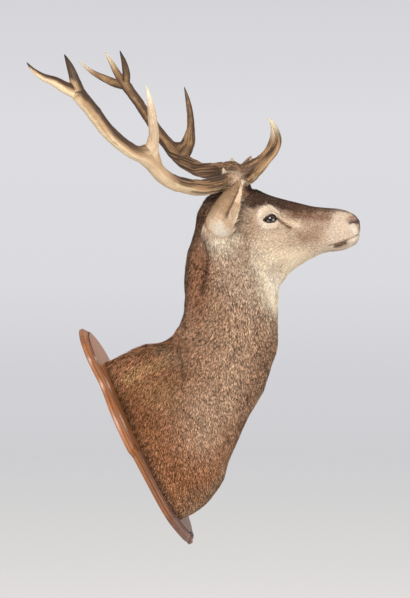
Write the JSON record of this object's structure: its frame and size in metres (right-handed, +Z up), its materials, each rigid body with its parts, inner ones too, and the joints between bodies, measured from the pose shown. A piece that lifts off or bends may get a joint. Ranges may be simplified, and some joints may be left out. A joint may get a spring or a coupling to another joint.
{
  "type": "shoulder_mount",
  "caption": "Red deer stag shoulder mount with a turned-up neck and eleven-point antlers, on a wooden shield plaque",
  "frame": {"origin": "Middle of the plaque's back face, where the neck's middle line meets the wall", "axes": "+Y into the wall, -Y out into the room the way the animal faces, +Z up, +X the animal's own left"},
  "size_m": [0.8536, 0.8629, 1.4336],
  "materials": {
    "varnished_wood": "gloss",
    "coat": "matte",
    "ear": "matte",
    "eye": "gloss",
    "antler": "satin"
  },
  "bodies": {
    "root": {"board": "varnished_wood", "trunk": "coat", "neck_lower": "coat", "neck_upper": "coat", "head": "coat", "jaw": "coat", "ear_left": "ear", "ear_right": "ear", "eye_left": "eye", "eye_right": "eye", "antler_left_base": "antler", "antler_left_brow": "antler", "antler_left_stub": "antler", "antler_left_upper": "antler", "antler_left_trez": "antler", "antler_left_crown_front": "antler", "antler_left_crown_middle": "antler", "antler_left_crown_rear": "antler", "antler_right_base": "antler", "antler_right_brow": "antler", "antler_right_stub": "antler", "antler_right_upper": "antler", "antler_right_trez": "antler", "antler_right_crown_front": "antler", "antler_right_crown_rear": "antler"}
  },
  "joints": []
}
